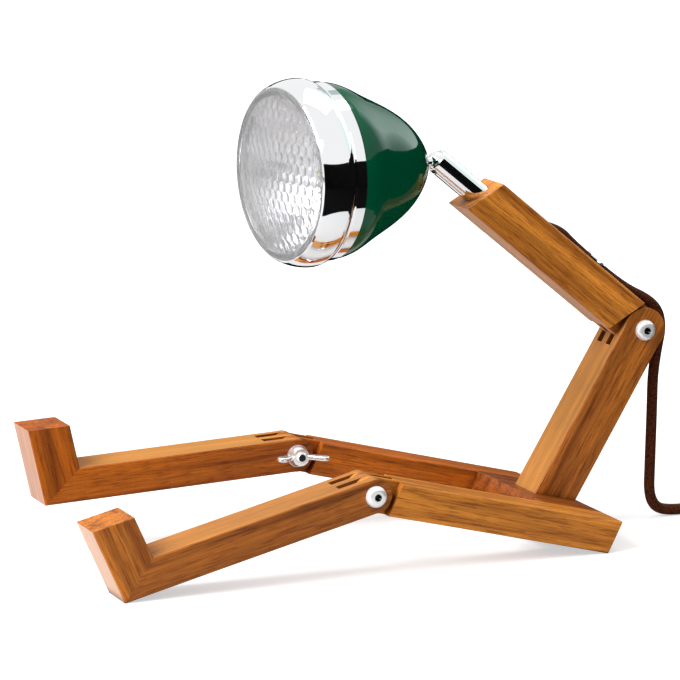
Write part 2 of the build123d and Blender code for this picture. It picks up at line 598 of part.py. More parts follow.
def bowl(wall):
    """The reflector's side from its hole to its mouth, that much further out."""
    spread = REFLECTOR_R - 2 * FIT - REFLECTOR_T - REFLECTOR_HOLE_R
    return [(REFLECTOR_HOLE_R + wall + spread * stop ** BOWL_GROWTH, BOWL_BACK + REFLECTOR_DEPTH * stop)
            for stop in BOWL_STOPS]


def reflector():
    inner, outer = bowl(0), bowl(REFLECTOR_T)
    flange_r = LENS_FLANGE_R - FIT
    flange_back = BOWL_FRONT - REFLECTOR_T
    corner = (outer[-1][0], flange_back)
    side = (Spline(*inner) + Spline(*outer[:-1], corner) + Line(inner[0], outer[0])
            + Polyline(inner[-1], (flange_r, BOWL_FRONT), (flange_r, flange_back), corner))
    keep("reflector", HEAD * turned(side))


def heat_sink():
    core_r, fin_gap, plate, lead_aside = 6.0, 2.2, 2.5, 4.2
    sink = Cylinder(SINK_R, SINK_H, align=HANGING)
    for number in range(SINK_FINS):
        gap = Pos(core_r + SINK_R / 2, 0, -plate) * Box(SINK_R, fin_gap, SINK_H, align=HANGING)
        sink -= Rot(0, 0, 360 / SINK_FINS * number) * gap
    sink -= Pos(0, lead_aside, 0) * Cylinder(LEAD_R + FIT, 3 * SINK_H)
    keep("heat_sink", HEAD * Pos(0, -SINK_FRONT, 0) * Rot(90, 0, 0) * sink)


def light_source():
    """The lamp's board and light emitting dome in front of the sink, and the driver and lead behind it."""
    edge = LED_H * 0.6
    dome_side = Polyline((0, BOARD_FRONT), (LED_R, BOARD_FRONT), (LED_R, BOARD_FRONT + edge),
                         (LED_R - LED_H, BOARD_FRONT + LED_H), (0, BOARD_FRONT + LED_H), close=True)
    keep("led_board", HEAD * disc(SINK_FRONT, BOARD_FRONT, LED_BOARD_R))
    keep("led_emitter", HEAD * turned(dome_side))
    keep("led_driver", HEAD * Pos(0, -DRIVER_BACK, 0) * Rot(90, 0, 0) * Box(*DRIVER, align=STANDING))
    stud_end = BOSS_END + SEAM + LOCK_NUT_H + LEAD_SLACK
    keep("head_lead", HEAD * bar(LEAD_R, stud_end + SEAM, DRIVER_BACK))


# ---------------------------------------------------------------- cord
# Its route in the middle plane is counted from the seat's rear top edge.
GROUND = FLOOR_Z + CORD_R                            # height of the cord's middle on the floor
ENTRY = FLOOR_Z + SWITCH_ENTRY
OVER_WAIST = [on_arm(*ON_ARM[-1]), on_arm(25.5, IN_GROOVE), on_arm(14.5, 15.0), Vector(0, 43.0, 89.5),
              Vector(0, 49.0, 76.5), Vector(0, 45.2, 63.5), Vector(0, 42.7, 53.0), Vector(0, 42.25, 38.0)]
DROP = [OVER_WAIST[-1], Vector(0, 41.15, GROUND + 12.5), Vector(0, 45.55, GROUND + 4.6),
        Vector(0, 53.25, GROUND), Vector(0, 64.0, GROUND), Vector(0, 74.0, ENTRY), Vector(0, 84.0, ENTRY)]
OUTER_TURN_R = COIL_MID_R + (COIL_ROWS - 1) * CORD_R
COIL_TOP = GROUND + (COIL_LAYERS - 1) * 2 * CORD_R
SWITCH_START = DROP[-1].Y + RELIEF_LENGTH
SWITCH_END = SWITCH_START + SWITCH_LENGTH
RELIEF_END = SWITCH_END + RELIEF_LENGTH
TO_COIL = [Vector(0, RELIEF_END, ENTRY), Vector(0, RELIEF_END + 9, ENTRY),
           Vector(0, COIL_BEHIND - 17, GROUND), Vector(0, COIL_BEHIND, GROUND)]
PLUG_AXIS = FLOOR_Z + PLUG_HEIGHT / 2
TAIL = [Vector(2 * OUTER_TURN_R, COIL_BEHIND, COIL_TOP), Vector(2 * OUTER_TURN_R, COIL_BEHIND - 24, COIL_TOP),
        Vector(PLUG_ASIDE, COIL_BEHIND - 44, PLUG_AXIS), Vector(PLUG_ASIDE, COIL_BEHIND - 57, PLUG_AXIS)]


def cord(name, points):
    """A tube along straight runs, with each corner's arc as large as its two runs allow."""
    runs = [b - a for a, b in zip(points, points[1:])]
    share = 0.45                                     # of the shorter run
    radii = [share * min(a.length, b.length) / tan(radians(a.get_angle(b) / 2))
             for a, b in zip(runs, runs[1:])]
    way = FilletPolyline(*points, radius=radii)
    tube = sweep(Plane(way @ 0, z_dir=way % 0) * Circle(CORD_R), path=way)
    fullness = tube.volume / (pi * CORD_R ** 2 * way.length)
    print(f"{name}: length {way.length:.1f}, volume {fullness:.4f} of section x length,",
          "radii", [round(radius, 1) for radius in radii])
    keep(name, tube)
    return way.length


def relief(tip, towards):
    """A tapered sleeve along Y with its tip on the cord and its base towards +Y (1) or -Y (-1)."""
    return Pos(tip) * Rot(90 * towards, 0, 0) * Cone(RELIEF_R, RELIEF_TIP_R, RELIEF_LENGTH, align=HANGING)


def coil():
    """The outer shape of two layers of turns, with a notch where the cord comes in and where it leaves."""
    play = 0.2
    inner_r = COIL_MID_R - COIL_ROWS * CORD_R
    outer_r = COIL_MID_R + COIL_ROWS * CORD_R + play
    height = COIL_LAYERS * 2 * CORD_R
    section = Pos(COIL_MID_R, height / 2) * RectangleRounded(outer_r - inner_r, height, CORD_R * 0.9)
    ring = revolve(Plane.XZ * section, Axis.Z)
    notch = Box(2 * CORD_R + 7 * play, outer_r, 2 * (CORD_R + play))
    ring -= Pos(-OUTER_TURN_R - 2 * play, -outer_r / 2, CORD_R) * notch
    ring -= Pos(OUTER_TURN_R + 2 * play, -outer_r / 2, height - CORD_R) * notch
    keep("cord_coil", Pos(OUTER_TURN_R, COIL_BEHIND, FLOOR_Z) * ring)
    return 2 * pi * (COIL_MID_R * COIL_ROWS * COIL_LAYERS + OUTER_TURN_R / 2)


SWITCH = Pos(0, (SWITCH_START + SWITCH_END) / 2, FLOOR_Z)
ROCKER_AXLE = Pos(0, 0, SWITCH_HEIGHT - 4)
ROCKER_PLAY = 0.2
AXLE = (1.2, 1.0)                                    # the rocker's axle: radius and depth in the cover


def switch_screws(play, extra=0):
    """The two screws from below that join the halves, or the holes for them."""
    stem_r, head_r, head_h, length, sunk = 1.2, 2.2, 1.6, 9.0, 0.6
    screws = []
    for side in (1, -1):
        place = Pos(0, side * (SWITCH_LENGTH / 2 - 8.5), sunk)
        head = Cylinder(head_r + play, head_h, align=STANDING)
        screw = head + Cylinder(stem_r + play, length + extra, align=STANDING)
        slot = Box(2 * head_r, 0.6, 1.2)
        screws.append(place * (screw + Cylinder(head_r + play, 2 * sunk) if extra else screw - slot))
    return screws


def switch_housing():
    plan = RectangleRounded(SWITCH_WIDTH, SWITCH_LENGTH, 6)
    base = extrude(plan, SWITCH_ENTRY)
    base = chamfer(base.faces().sort_by(Axis.Z)[0].edges(), 0.6)
    cover = Pos(0, 0, SWITCH_ENTRY) * extrude(plan, SWITCH_HEIGHT - SWITCH_ENTRY)
    cover = fillet(cover.faces().sort_by(Axis.Z)[-1].edges(), 2.5)
    below_axle = 4.6
    width, length = ROCKER_WIDTH + 2 * ROCKER_PLAY, ROCKER_LENGTH + 2 * ROCKER_PLAY
    cover -= ROCKER_AXLE * Pos(0, 0, -below_axle) * Box(width, length, SWITCH_HEIGHT, align=STANDING)
    cover -= ROCKER_AXLE * Rot(0, 90, 0) * Cylinder(AXLE[0] + BORE_CLEARANCE, width + 2 * (AXLE[1] + FIT))
    holes = switch_screws(BORE_CLEARANCE, extra=FIT)
    keep("switch_base", SWITCH * (base - holes))
    keep("switch_cover", SWITCH * (cover - holes))
    keep("switch_screws", *[SWITCH * screw for screw in switch_screws(0)])
    keep("switch_reliefs", relief(DROP[-1], 1), relief(TO_COIL[0], -1))


def switch_rocker():
    """The key is dished, and rocks about an axle that snaps into the cover."""
    end_r, end_h, middle_h, below = ROCKER_LENGTH / 2, 5.2, 3.4, 2.4
    side = outline((-end_r, end_h), (0, middle_h), (end_r, end_h), (end_r, -below), (-end_r, -below))
    key = Rot(-ROCKER_TILT, 0, 0) * side_slab(side & Circle(end_r), ROCKER_WIDTH)
    axle = Rot(0, 90, 0) * Cylinder(AXLE[0], ROCKER_WIDTH + 2 * (ROCKER_PLAY + AXLE[1]))
    keep("switch_rocker", SWITCH * ROCKER_AXLE * (key + axle))


def plug():
    """A flat two pin plug along -Y behind its relief."""
    place = Pos(PLUG_ASIDE, TAIL[-1].Y - RELIEF_LENGTH, PLUG_AXIS)
    front, rear_x, side_x = -PLUG_LENGTH, PLUG_REAR / 2, PLUG_WIDTH / 2
    plan = outline((-rear_x, 0), (-side_x, -PLUG_SHOULDER), (-side_x, front), (side_x, front),
                   (side_x, -PLUG_SHOULDER), (rear_x, 0))
    body = Pos(0, 0, -PLUG_HEIGHT / 2) * extrude(plan, PLUG_HEIGHT)
    body = fillet(body.edges().filter_by(Axis.Z), 2.5)
    body = fillet(body.faces().sort_by(Axis.Z)[0].edges() + body.faces().sort_by(Axis.Z)[-1].edges(), 2.0)
    root = 8.0                                       # a pin goes this far into the body
    pins = []
    for side in (1, -1):
        pin = Pos(side * PIN_PITCH / 2, 0, 0) * bar(PIN_R, PLUG_LENGTH - root, PLUG_LENGTH + PIN_LENGTH)
        body -= pin
        pins.append(place * fillet(pin.faces().sort_by(Axis.Y)[0].edges(), PIN_R * 0.6))
    keep("plug_body", place * body)
    keep("plug_pins", *pins)
    keep("plug_relief", relief(TAIL[-1], -1))


# ---------------------------------------------------------------- assembly
for make in (seat, thighs, legs, trunk, arm, leads_in_arm, cord_clip, socket_tube, ball_stud, head_shell,
             head_rim, head_lens, reflector, heat_sink, light_source, switch_housing, switch_rocker, plug):
    make()
lengths = [cord("cord_on_arm", [on_arm(*point) for point in ON_ARM]), cord("cord_over_waist", OVER_WAIST),
           cord("cord_drop", DROP), 2 * RELIEF_LENGTH + SWITCH_LENGTH, cord("cord_to_coil", TO_COIL), coil(),
           cord("cord_tail", TAIL)]
print(f"cord: {sum(lengths):.0f} long")

FREE_CORD = ("cord_", "switch_", "plug_")
lamp = [solid for name, solids in PARTS.items() if not name.startswith(FREE_CORD) for solid in solids]
box = Compound(lamp).bounding_box()
shift = Pos(-box.center().X, -box.center().Y, -FLOOR_Z)      # origin under the middle, on the floor
print("box", box.size, "lowest", box.min.Z - FLOOR_Z)
rocker = (SWITCH * ROCKER_AXLE).position
for name, point in (("knee", KNEE), ("waist", WAIST), ("ball", BALL), ("rocker", rocker)):
    print(name, (shift * Pos(point)).position)
print("arm way", forward(ARM_PITCH), "right shank pitch", round(RIGHT_SHANK_PITCH, 3))
for name, solids in PARTS.items():
    placed = [shift * solid for solid in solids]
    export_step(placed[0] if len(placed) == 1 else Compound(placed), f"parts/{name}.step")
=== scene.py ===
import bmesh
import bpy
import json
from math import cos, floor, pi, radians, sin, sqrt, tan
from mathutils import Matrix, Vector


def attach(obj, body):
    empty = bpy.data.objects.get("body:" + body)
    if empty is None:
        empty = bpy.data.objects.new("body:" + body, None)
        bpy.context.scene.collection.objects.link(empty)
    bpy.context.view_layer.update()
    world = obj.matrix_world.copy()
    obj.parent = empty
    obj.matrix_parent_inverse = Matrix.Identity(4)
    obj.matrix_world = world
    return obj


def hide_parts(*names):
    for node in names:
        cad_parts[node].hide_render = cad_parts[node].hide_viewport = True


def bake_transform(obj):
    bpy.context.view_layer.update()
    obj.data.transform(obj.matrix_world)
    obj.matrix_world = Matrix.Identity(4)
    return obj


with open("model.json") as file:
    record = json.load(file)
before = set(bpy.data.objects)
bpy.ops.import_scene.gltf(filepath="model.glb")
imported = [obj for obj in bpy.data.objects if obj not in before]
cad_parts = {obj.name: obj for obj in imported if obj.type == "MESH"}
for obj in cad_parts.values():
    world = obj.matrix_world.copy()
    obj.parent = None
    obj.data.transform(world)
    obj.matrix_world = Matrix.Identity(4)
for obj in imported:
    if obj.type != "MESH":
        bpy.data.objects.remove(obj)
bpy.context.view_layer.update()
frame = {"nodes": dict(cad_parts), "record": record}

# ---------------------------------------------------------------- sizes, in metres and degrees
MM = 0.001
SEAT_PITCH = 14.1
RIGHT_SHANK_PITCH = -13.8
LEFT_SHANK_PITCH = -2.4
TRUNK_LEAN = 31.0
ARM_PITCH = 39.5
FOOT_ANGLE = 100.0
JOINTS = {joint["name"]: joint for joint in frame["record"]["behaviour"]["joints"]}
WAIST = Vector(JOINTS["waist"]["pos_m"])
BALL = Vector(JOINTS["head_tilt"]["pos_m"])
HEAD_AXIS = Vector(JOINTS["head_spin"]["axis"])
SEAT_EDGE = Vector((0, 102.2016, 13.7044)) * MM       # the seat's rear top edge


# ---------------------------------------------------------------- camera
AZIMUTH, ELEVATION = 67.14, 10.73                     # fitted to the photograph, as are the next two
TARGET = Vector((0, -10.04, 94.08)) * MM
DISTANCE = 1.70065
LENS_MM, SENSOR_MM = 205.0, 36.0


def make_camera():
    azimuth, elevation = radians(AZIMUTH), radians(ELEVATION)
    back = Vector((sin(azimuth) * cos(elevation), -cos(azimuth) * cos(elevation), sin(elevation)))
    data = bpy.data.cameras.new("camera")
    data.sensor_width = SENSOR_MM
    data.lens = LENS_MM
    data.clip_start, data.clip_end = 0.1, 30
    camera = bpy.data.objects.new("camera", data)
    bpy.context.scene.collection.objects.link(camera)
    camera.rotation_mode = "QUATERNION"
    camera.location = TARGET + back * DISTANCE
    camera.rotation_quaternion = (-back).to_track_quat("-Z", "Y")
    bpy.context.scene.camera = camera


make_camera()

# ---------------------------------------------------------------- cord
CORD_R = 2.5 * MM
ROUTE_ORDER = 3                                       # order of the route's spline
COIL_MID_R = 26 * MM
COIL_TURNS = 4                                        # side by side in each of the two layers
COIL_STEPS = 14                                       # route points in each turn
COIL_EASE = 1.012                                     # the spline cuts inside its points by this
COIL_MIDDLE = Vector((33.5, 319.2016, 0)) * MM


def over_seat(y, z, x=0.0):
    """A point from the middle of the seat's rear top edge."""
    return SEAT_EDGE + Vector((x, y, z)) * MM


def on_arm(along, height):
    """A point of the middle plane, from the waist bolt along the arm and over its axis."""
    rise = radians(ARM_PITCH)
    forward, upward = Vector((0, -cos(rise), sin(rise))), Vector((0, sin(rise), cos(rise)))
    return WAIST + (forward * along + upward * height) * MM


def round_waist(angle, radius):
    """A point of the middle plane at a distance from the waist bolt, at an angle from the rear upwards."""
    return WAIST + Vector((0, cos(radians(angle)), sin(radians(angle)))) * radius * MM


def coil_points():
    """Two layers of turns, wound inwards below and outwards above, from the left side to the right side."""
    outer = COIL_MID_R + (COIL_TURNS - 1) * CORD_R
    points = []
    for number in range(1, int((2 * COIL_TURNS + 0.5) * COIL_STEPS)):
        turn = number / COIL_STEPS
        layer = min(max(turn - COIL_TURNS + 0.5, 0), 1)
        inward = turn if turn <= COIL_TURNS - 0.5 else COIL_TURNS - 1 - max(turn - COIL_TURNS - 0.5, 0)
        inward = min(max(inward, 0), COIL_TURNS - 1)
        radius = (outer - 2 * CORD_R * inward) * COIL_EASE
        angle = pi - 2 * pi * turn
        height = CORD_R + 2 * CORD_R * layer
        points.append(COIL_MIDDLE + Vector((radius * cos(angle), radius * sin(angle), height)))
    return points


def cord_route():
    """The whole way from the arm's anchor over the waist to the floor, round the coil and to the plug."""
    arm = [on_arm(68.1, 7.65), on_arm(60.5, 11.3), on_arm(50.0, 10.3), on_arm(40.5, 10.05),
           on_arm(31.5, 10.05), on_arm(25.5, 10.05), on_arm(14.0, 10.8)]
    waist = [round_waist(62, 13.7), round_waist(28, 13.7), round_waist(-6, 13.7), over_seat(44.2, 65.0),
             over_seat(42.4, 53.0)]
    back = [over_seat(42.25, 38.0), over_seat(41.6, 10.0), over_seat(41.3, -2.5), over_seat(44.8, -9.4)]
    to_coil = [over_seat(52.5, -11.2), over_seat(64, -11.2), over_seat(74, -8.7), over_seat(84, -8.7),
               over_seat(133, -8.7), over_seat(182, -8.7), over_seat(191, -8.7), over_seat(200, -11.2),
               over_seat(217, -11.2)]
    to_plug = [over_seat(217, -6.2, 67), over_seat(193, -6.2, 67), over_seat(173, -7.2, 58),
               over_seat(160, -7.2, 58)]
    return arm + waist + back + to_coil + coil_points() + to_plug


def make_cord():
    route = cord_route()
    curve = bpy.data.curves.new("cord_route", "CURVE")
    curve.dimensions = "3D"
    spline = curve.splines.new("NURBS")
    spline.points.add(len(route) - 1)
    for point, place in zip(spline.points, route):
        point.co = (*place, 1)
    spline.order_u = ROUTE_ORDER
    spline.use_endpoint_u = True
    spline.resolution_u = 10
    drawn = bpy.data.objects.new("cord_route", curve)
    bpy.context.scene.collection.objects.link(drawn)
    line = bpy.data.meshes.new_from_object(drawn)
    curve.bevel_depth = CORD_R
    curve.bevel_resolution = 5
    curve.use_fill_caps = True
    tube = bpy.data.meshes.new_from_object(drawn)
    bpy.data.objects.remove(drawn)
    tube.name = "cord"
    tube.shade_smooth()
    cord = bpy.data.objects.new("cord", tube)
    bpy.context.scene.collection.objects.link(cord)
    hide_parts("cord_on_arm", "cord_over_waist", "cord_drop", "cord_to_coil", "cord_coil", "cord_tail")
    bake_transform(cord)
    return cord


cord = make_cord()

# ---------------------------------------------------------------- lens
CROWN, DOME_FOOT, BORDER = 84.2, 80.5, 80.8           # distances from the ball along the head's axis, mm
DOME_R, GLASS_R, FLANGE_R, INNER_R = 34.0, 37.0, 37.8, 34.4
FLANGE_FRONT, FLANGE_BACK = 77.15, 75.15
INNER_CROWN, INNER_FOOT = 81.6, 78.2
EDGE_BREAK = 0.3
SHARP_ANGLE = 50
CELL_ACROSS = 4.9                                     # pitch of the pressed cells
CELL_DEPTH = 0.7
CELLS_R = 33.6
LENS_SEGMENTS = 300
DOME_RINGS = 12
CELL_RINGS = 60


def dome(radius, crown, foot, foot_r):
    """Height of a spherical dome over a radius, from its crown to its foot."""
    fall = crown - foot
    ball_r = (foot_r ** 2 + fall ** 2) / (2 * fall)
    return crown - ball_r + sqrt(ball_r ** 2 - radius ** 2)


def pillow(x, y):
    """Swell of the staggered round-backed cells at a point: 1 in a cell's middle and 0 at its corners."""
    row_pitch = CELL_ACROSS * sqrt(3) / 2
    corner_r = CELL_ACROSS / sqrt(3)
    nearest = corner_r ** 2
    for row in (floor(y / row_pitch), floor(y / row_pitch) + 1):
        shift = CELL_ACROSS / 2 * (row % 2)
        middle = round((x - shift) / CELL_ACROSS) * CELL_ACROSS + shift
        nearest = min(nearest, (x - middle) ** 2 + (y - row * row_pitch) ** 2)
    return 1 - nearest / corner_r ** 2


def make_lens():
    """The pressed glass: a smooth dome with a plain border outside, and rows of small pillows inside."""
    upward = (Vector((0, 0, 1)) - HEAD_AXIS * HEAD_AXIS.z).normalized()
    across = upward.cross(HEAD_AXIS)
    radii = [DOME_R * k / DOME_RINGS for k in range(1, DOME_RINGS + 1)]
    rings = [(radius, dome(radius, CROWN, DOME_FOOT, DOME_R), False) for radius in radii]
    rings += [(DOME_R + EDGE_BREAK, BORDER, False), (GLASS_R - EDGE_BREAK, BORDER, False),
              (GLASS_R, BORDER - EDGE_BREAK, False), (GLASS_R, FLANGE_FRONT, False),
              (FLANGE_R, FLANGE_FRONT, False), (FLANGE_R, FLANGE_BACK, False), (INNER_R, FLANGE_BACK, False),
              (INNER_R, INNER_FOOT, False)]
    radii = [CELLS_R * k / CELL_RINGS for k in range(CELL_RINGS, 0, -1)]
    rings += [(radius, dome(radius, INNER_CROWN, INNER_FOOT, INNER_R), True) for radius in radii]

    def point(radius, height, pressed, angle):
        x, y = radius * cos(angle), radius * sin(angle)
        if pressed:
            height -= CELL_DEPTH * pillow(x, y) * min((CELLS_R - radius) / EDGE_BREAK, 1)
        return BALL + (across * x + upward * y + HEAD_AXIS * height) * MM

    build = bmesh.new()
    loops = [[build.verts.new(point(*ring, 2 * pi * k / LENS_SEGMENTS)) for k in range(LENS_SEGMENTS)]
             for ring in rings]
    front = build.verts.new(point(0, CROWN, False, 0))
    rear = build.verts.new(point(0, INNER_CROWN, True, 0))
    for k in range(LENS_SEGMENTS):
        after = (k + 1) % LENS_SEGMENTS
        build.faces.new((front, loops[0][after], loops[0][k]))
        build.faces.new((rear, loops[-1][k], loops[-1][after]))
        for inner, outer in zip(loops, loops[1:]):
            build.faces.new((inner[k], inner[after], outer[after], outer[k]))
    bmesh.ops.recalc_face_normals(build, faces=build.faces)
    mesh = bpy.data.meshes.new("pressed_lens")
    build.to_mesh(mesh)
    build.free()
    mesh.shade_smooth()
    mesh.set_sharp_from_angle(angle=radians(SHARP_ANGLE))
    lens = bpy.data.objects.new("pressed_lens", mesh)
    bpy.context.scene.collection.objects.link(lens)
    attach(lens, "head")
    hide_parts("head_lens")
    return lens


lens = make_lens()

# ---------------------------------------------------------------- materials
SOCKETS = {"base": "Base Color", "sheen": "Sheen Weight", "sheen_roughness": "Sheen Roughness",
           "transmission": "Transmission Weight", "ior": "IOR", "specular": "Specular IOR Level",
           "roughness": "Roughness", "metallic": "Metallic",
           "emission": "Emission Color", "glow": "Emission Strength"}


class Nodes:
    """A material's node tree, with short calls for making and joining nodes."""

    def __init__(self, name):
        self.material = bpy.data.materials.new(name)
        self.material.use_nodes = True
        self.tree = self.material.node_tree
        self.shader = self.tree.nodes["Principled BSDF"]

    def add(self, kind, **values):
        node = self.tree.nodes.new(kind)
        for key, value in values.items():
            setattr(node, key, value)
        return node

    def feed(self, value, socket):
        """Joins a socket to another, or sets a constant on it."""
        if isinstance(value, bpy.types.NodeSocket):
            self.tree.links.new(value, socket)
        elif isinstance(value, tuple) and len(value) == 3 and len(socket.default_value) == 4:
            socket.default_value = (*value, 1)
        else:
            socket.default_value = value

    def surface(self, **values):
        for key, value in values.items():
            self.feed(value, self.shader.inputs[SOCKETS[key]])

    def place(self, pitch=0.0, stretch=1.0, offset=(0, 0, 0)):
        """Coordinates of the object, stretched along a direction at that pitch in the middle plane."""
        mapping = self.add("ShaderNodeMapping", vector_type="TEXTURE")
        mapping.inputs["Rotation"].default_value = (-radians(pitch), 0, 0)
        mapping.inputs["Scale"].default_value = (1, stretch, 1)
        mapping.inputs["Location"].default_value = offset
        self.feed(self.add("ShaderNodeTexCoord").outputs["Object"], mapping.inputs["Vector"])
        return mapping.outputs["Vector"]

    def noise(self, vector, scale, detail=4.0, roughness=0.55, distortion=0.0):
        node = self.add("ShaderNodeTexNoise")
        node.inputs["Scale"].default_value = scale
        node.inputs["Detail"].default_value = detail
        node.inputs["Roughness"].default_value = roughness
        node.inputs["Distortion"].default_value = distortion
        self.feed(vector, node.inputs["Vector"])
        return node.outputs["Fac"]

    def ramp(self, value, *stops):
        node = self.add("ShaderNodeValToRGB")
        ramp = node.color_ramp
        while len(ramp.elements) < len(stops):
            ramp.elements.new(0.5)
        for element, (position, colour) in zip(ramp.elements, stops):
            element.position = position
            element.color = (*colour, 1) if isinstance(colour, tuple) else (colour, colour, colour, 1)
        self.feed(value, node.inputs["Fac"])
        return node.outputs["Color"]

    def mix(self, a, b, share, blend="MIX"):
        node = self.add("ShaderNodeMix", data_type="RGBA", blend_type=blend)
        self.feed(share, node.inputs[0])
        self.feed(a, node.inputs[6])
        self.feed(b, node.inputs[7])
        return node.outputs[2]

    def math(self, operation, a, b=0.0):
        node = self.add("ShaderNodeMath", operation=operation)
        self.feed(a, node.inputs[0])
        self.feed(b, node.inputs[1])
        return node.outputs[0]

    def facing(self, direction, start, end):
        """From 0 to 1 as the object's own surface turns to face that direction."""
        dot = self.add("ShaderNodeVectorMath", operation="DOT_PRODUCT")
        self.feed(self.add("ShaderNodeTexCoord").outputs["Normal"], dot.inputs[0])
        dot.inputs[1].default_value = direction
        return self.ramp(dot.outputs["Value"], (start, 0.0), (end, 1.0))

    def bump(self, height, depth, strength=1.0):
        node = self.add("ShaderNodeBump")
        node.inputs["Distance"].default_value = depth
        node.inputs["Strength"].default_value = strength
        self.feed(height, node.inputs["Height"])
        self.feed(node.outputs["Normal"], self.shader.inputs["Normal"])


SEED_SHIFT = (0.037, 0.011, 0.023)                    # moves each member to its own part of the noise
GRAIN_STRETCH, PORE_STRETCH = 28, 14
BAND_SCALE, FINE_SCALE, PORE_SCALE, SAND_SCALE = 150, 700, 1400, 2600
LIGHTER, DARKER = 1.36, (0.62, 0.52, 0.42)
# The second tone is painted shade for slots, joints and creases.
PORE_TONE, PAINTED_SHADE_TONE = (0.52, 0.42, 0.36), (0.22, 0.13, 0.11)
PAINTED_FACE_TURN = (0.86, 0.96)                              # the painted light tone of a face comes in between these cosines
PAINTED_SHADE_REACH = 6 * MM                                   # painted shade darkens slots, joints, creases and faces near the floor within this


def timber(name, pitch, seed, colour, painted_face=None):
    """Oiled hardwood whose grain runs at that pitch above level, and painted light on one face: a lighter
    tone on lit tops and fronts, a pale painted floor reflection on undersides.
    """
    wood = Nodes(name)
    shift = tuple(seed * step for step in SEED_SHIFT)
    grain = wood.place(pitch, GRAIN_STRETCH, shift)
    bands = wood.noise(grain, BAND_SCALE, detail=3, roughness=0.6, distortion=0.5)
    fine = wood.noise(grain, FINE_SCALE, detail=4, roughness=0.7)
    pore = wood.noise(wood.place(pitch, PORE_STRETCH, shift), PORE_SCALE, detail=2, roughness=0.5)
    sand = wood.noise(wood.place(), SAND_SCALE, detail=2, roughness=0.6)
    light = tuple(c * LIGHTER for c in colour)
    dark = tuple(c * k for c, k in zip(colour, DARKER))
    tone = wood.ramp(bands, (0.36, dark), (0.50, colour), (0.66, light))
    tone = wood.mix(tone, wood.ramp(fine, (0.34, 0.62), (0.60, 1.12)), 0.8, "MULTIPLY")
    tone = wood.mix(tone, wood.ramp(sand, (0.36, 0.78), (0.62, 1.12)), 0.7, "MULTIPLY")
    tone = wood.mix(tone, wood.ramp(pore, (0.36, PORE_TONE), (0.48, 1.0)), 0.7, "MULTIPLY")
    # Painted light: the face turned that way is blended towards a lighter tone, standing for the light on lit
    # tops and fronts and for the floor's reflection on undersides.
    if painted_face:
        direction, painted_tone, share = painted_face
        tone = wood.mix(tone, painted_tone, wood.math("MULTIPLY", wood.facing(direction, *PAINTED_FACE_TURN), share))
    # Painted shade: ambient occlusion darkens the wood in slots, joints, creases and near the floor.
    occlusion_shade = wood.add("ShaderNodeAmbientOcclusion", samples=8)
    occlusion_shade.inputs["Distance"].default_value = PAINTED_SHADE_REACH
    painted_shade = wood.ramp(occlusion_shade.outputs["AO"], (0.2, PAINTED_SHADE_TONE), (0.75, 1.0))
    tone = wood.mix(tone, painted_shade, 1.0, "MULTIPLY")
    wood.surface(base=tone, roughness=wood.ramp(fine, (0.3, 0.46), (0.7, 0.36)), specular=0.22)
    wood.bump(pore, 0.00005, 0.6)
    return wood.material


def chrome(name, roughness=0.04, colour=(0.88, 0.89, 0.90), metallic=1.0):
    metal = Nodes(name)
    smudge = metal.noise(metal.place(), 60, detail=3)
    metal.surface(base=colour, metallic=metallic,
                  roughness=metal.ramp(smudge, (0.35, roughness), (0.75, roughness * 1.6)))
    return metal.material


SOCKET_EDGE_CM = (0.155, 0.175)                       # painted shade fills the key's socket inside the first radius
CM_PER_M = 100.0
# The first colour is painted shade for the socket's recess.
SOCKET_PAINTED_SHADE, BOLT_BRIGHT = (0.004, 0.012, 0.014), (0.95, 0.95, 0.95)


def bolt_steel(name, axle):
    """Bright steel, with painted shade inside the socket of a bolt on an axle along X."""
    steel = Nodes(name)
    away = steel.add("ShaderNodeVectorMath", operation="SUBTRACT")
    steel.feed(steel.add("ShaderNodeTexCoord").outputs["Object"], away.inputs[0])
    away.inputs[1].default_value = axle
    across = steel.add("ShaderNodeVectorMath", operation="MULTIPLY")
    steel.feed(away.outputs["Vector"], across.inputs[0])
    across.inputs[1].default_value = (0, 1, 1)
    length = steel.add("ShaderNodeVectorMath", operation="LENGTH")
    steel.feed(across.outputs["Vector"], length.inputs[0])
    in_cm = steel.math("MULTIPLY", length.outputs["Value"], CM_PER_M)
    inside, outside = SOCKET_EDGE_CM
    steel.surface(base=steel.ramp(in_cm, (inside, SOCKET_PAINTED_SHADE), (outside, BOLT_BRIGHT)), metallic=0.4,
                  roughness=0.2)
    return steel.material


def enamel():
    paint = Nodes("green_enamel")
    peel = paint.noise(paint.place(), 700, detail=2)
    paint.surface(base=paint.ramp(peel, (0.3, (0.0, 0.080, 0.033)), (0.7, (0.0, 0.088, 0.037))),
                  roughness=0.06, specular=0.2)
    paint.bump(peel, 0.00001, 0.2)
    return paint.material


def glass():
    pressed = Nodes("lens_glass")
    frost = pressed.noise(pressed.place(), 90, detail=2)
    pressed.surface(base=(0.87, 0.865, 0.87), transmission=0.88, ior=1.47,
                    roughness=pressed.ramp(frost, (0.3, 0.06), (0.7, 0.10)))
    return pressed.material


def plastic(name, colour, roughness=0.45):
    moulded = Nodes(name)
    texture = moulded.noise(moulded.place(), 1600, detail=3)
    moulded.surface(base=colour,
                    roughness=moulded.ramp(texture, (0.3, roughness - 0.06), (0.7, roughness + 0.08)))
    moulded.bump(texture, 0.00003, 0.5)
    return moulded.material


def cloth_cord():
    cloth = Nodes("cord_cloth")
    weave = cloth.noise(cloth.place(), 1400, detail=2)
    cloth.surface(base=cloth.ramp(weave, (0.34, (0.016, 0.003, 0.001)), (0.66, (0.125, 0.026, 0.004))),
                  roughness=0.8, specular=0.15, sheen=0.02, sheen_roughness=0.4)
    cloth.bump(weave, 0.0003, 0.9)
    return cloth.material


